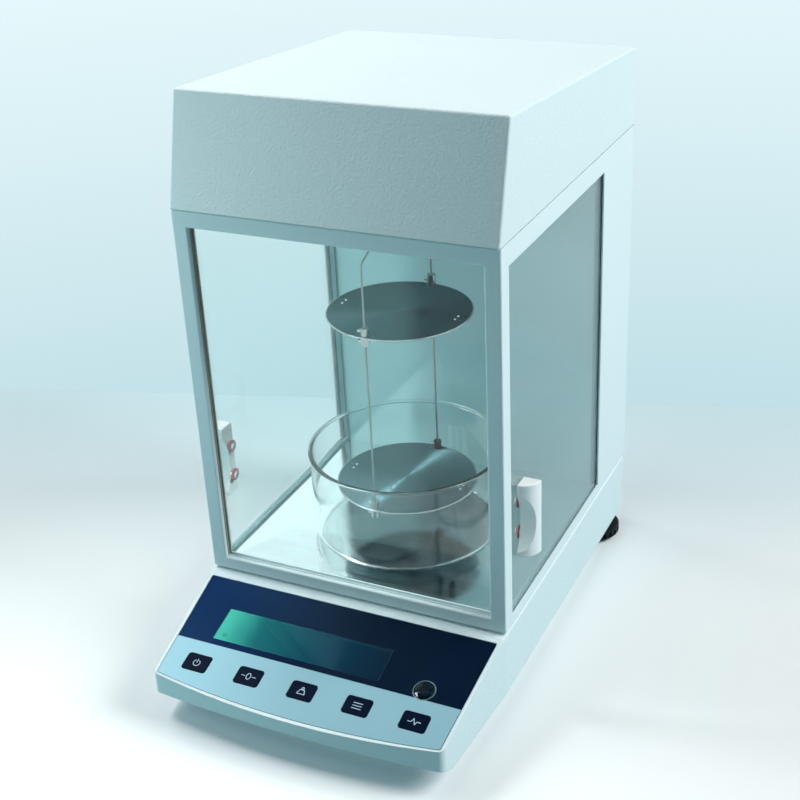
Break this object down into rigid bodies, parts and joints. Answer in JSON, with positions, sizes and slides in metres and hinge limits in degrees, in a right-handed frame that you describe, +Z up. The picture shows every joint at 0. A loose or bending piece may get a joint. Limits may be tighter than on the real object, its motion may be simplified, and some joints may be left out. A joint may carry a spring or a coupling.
{
  "type": "benchtop density meter",
  "caption": "Benchtop density meter: electronic balance with a glass draught shield, a sloped console with display and keys, and a wire hanger with pans in air and in a glass dish.",
  "frame": {"origin": "on the bench under the middle of the instrument's bounding box", "axes": "+Z up, -Y towards the user, +X to the user's right"},
  "size_m": [0.2362, 0.3499, 0.3875],
  "materials": {
    "housing_paint": "satin",
    "shield_paint": "fine texture",
    "steel_sheet": "brushed",
    "polished_steel": "polished",
    "screw_steel": "bright",
    "black_rubber": "matt",
    "black_plastic": "matt",
    "overlay_navy": "fine texture",
    "key_navy": "matt",
    "clear_pane": "clear",
    "lcd_green": "smooth",
    "board_green": "solder mask",
    "switch_black": "matt",
    "vial_green": "clear",
    "white_plastic": "satin",
    "red_washer": "matt",
    "wall_glass": "gloss",
    "seal_dark": "matt",
    "core_steel": "laminated",
    "aluminium_bare": "milled",
    "coil_brass": "wound",
    "collar_black": "matt",
    "dish_glass": "clear"
  },
  "bodies": {
    "base": {"base_housing": "housing_paint", "base_plate": "steel_sheet", "base_plate_screws": "screw_steel", "front_feet": "black_rubber", "panel_overlay": "overlay_navy", "display_window": "clear_pane", "lcd_module": "lcd_green", "display_board": "board_green", "key_switches": "switch_black", "level_housing": "black_plastic", "level_vial": "vial_green", "chamber_floor": "steel_sheet", "main_board": "board_green", "transformer": "core_steel", "power_inlet": "black_plastic", "data_port": "steel_sheet", "front_frame": "shield_paint", "front_glass": "clear_pane", "front_gasket": "seal_dark", "left_side_panel": "shield_paint", "right_side_panel": "shield_paint", "left_track": "white_plastic", "right_track": "white_plastic", "top_plate": "aluminium_bare", "rear_wall": "wall_glass", "rear_cover": "shield_paint", "rear_cover_screws": "screw_steel", "door_seals": "seal_dark", "top_cover": "housing_paint", "top_cover_screws": "screw_steel", "sensor_frame": "aluminium_bare", "magnet_pot": "core_steel", "guide_arms": "polished_steel"},
    "left_door": {"left_door_glass": "clear_pane", "left_handle": "white_plastic", "left_handle_screws": "screw_steel", "left_handle_washers": "red_washer"},
    "right_door": {"right_door_glass": "clear_pane", "right_handle": "white_plastic", "right_handle_screws": "screw_steel", "right_handle_washers": "red_washer"},
    "power_key_cap": {"power_key": "key_navy"},
    "tare_key_cap": {"tare_key": "key_navy"},
    "calibration_key_cap": {"calibration_key": "key_navy"},
    "mode_key_cap": {"mode_key": "key_navy"},
    "test_key_cap": {"test_key": "key_navy"},
    "left_foot": {"left_foot_pad": "black_rubber"},
    "left_foot_disc": {"left_foot_screw": "black_plastic"},
    "right_foot": {"right_foot_pad": "black_rubber"},
    "right_foot_disc": {"right_foot_screw": "black_plastic"},
    "hanger": {"hanger_wire": "polished_steel", "upper_pan": "polished_steel", "lower_pan": "polished_steel", "pan_collars": "polished_steel", "collar_screws": "polished_steel", "lower_stop": "collar_black", "load_carrier": "polished_steel"},
    "beam": {"force_beam": "aluminium_bare", "force_coil": "coil_brass"},
    "dish": {"glass_dish": "dish_glass"}
  },
  "joints": [
    {"name": "left_door_slide", "type": "slide", "parent": "base", "child": "left_door", "axis": [0, 1, 0], "range_m": [0, 0.145]},
    {"name": "right_door_slide", "type": "slide", "parent": "base", "child": "right_door", "axis": [0, 1, 0], "range_m": [0, 0.145]},
    {"name": "power_key_press", "type": "slide", "parent": "base", "child": "power_key_cap", "axis": [0, 0.2723, -0.9622], "range_m": [0, 0.0004], "stiffness_N_per_m": 3750, "springref_m": -0.0001},
    {"name": "tare_key_press", "type": "slide", "parent": "base", "child": "tare_key_cap", "axis": [0, 0.2723, -0.9622], "range_m": [0, 0.0004], "stiffness_N_per_m": 3750, "springref_m": -0.0001},
    {"name": "calibration_key_press", "type": "slide", "parent": "base", "child": "calibration_key_cap", "axis": [0, 0.2723, -0.9622], "range_m": [0, 0.0004], "stiffness_N_per_m": 3750, "springref_m": -0.0001},
    {"name": "mode_key_press", "type": "slide", "parent": "base", "child": "mode_key_cap", "axis": [0, 0.2723, -0.9622], "range_m": [0, 0.0004], "stiffness_N_per_m": 3750, "springref_m": -0.0001},
    {"name": "test_key_press", "type": "slide", "parent": "base", "child": "test_key_cap", "axis": [0, 0.2723, -0.9622], "range_m": [0, 0.0004], "stiffness_N_per_m": 3750, "springref_m": -0.0001},
    {"name": "left_foot_lift", "type": "slide", "parent": "base", "child": "left_foot", "axis": [0, 0, 1], "range_m": [-0.006, 0.004]},
    {"name": "left_foot_turn", "type": "hinge", "parent": "left_foot", "child": "left_foot_disc", "pos_m": [-0.0915, 0.14715, 0.00575], "axis": [0, 0, 1], "range_deg": [-1730, 1154]},
    {"name": "right_foot_lift", "type": "slide", "parent": "base", "child": "right_foot", "axis": [0, 0, 1], "range_m": [-0.006, 0.004]},
    {"name": "right_foot_turn", "type": "hinge", "parent": "right_foot", "child": "right_foot_disc", "pos_m": [0.0915, 0.14715, 0.00575], "axis": [0, 0, 1], "range_deg": [-1730, 1154]},
    {"name": "hanger_lift", "type": "slide", "parent": "base", "child": "hanger", "axis": [0, 0, 1], "range_m": [-0.001, 0.001], "stiffness_N_per_m": 2000, "springref_m": 0.0008},
    {"name": "beam_tilt", "type": "hinge", "parent": "base", "child": "beam", "pos_m": [0, 0.04435, 0.3485], "axis": [1, 0, 0], "range_deg": [-1.9, 1.9]},
    {"name": "dish_lift", "type": "slide", "parent": "base", "child": "dish", "axis": [0, 0, 1], "range_m": [0, 0.025]}
  ],
  "couplings": [
    {"joint": "left_foot_turn", "follows": "left_foot_lift", "rad_per_m": 5026.5},
    {"joint": "right_foot_turn", "follows": "right_foot_lift", "rad_per_m": 5026.5},
    {"joint": "beam_tilt", "follows": "hanger_lift", "rad_per_m": -32.258}
  ]
}
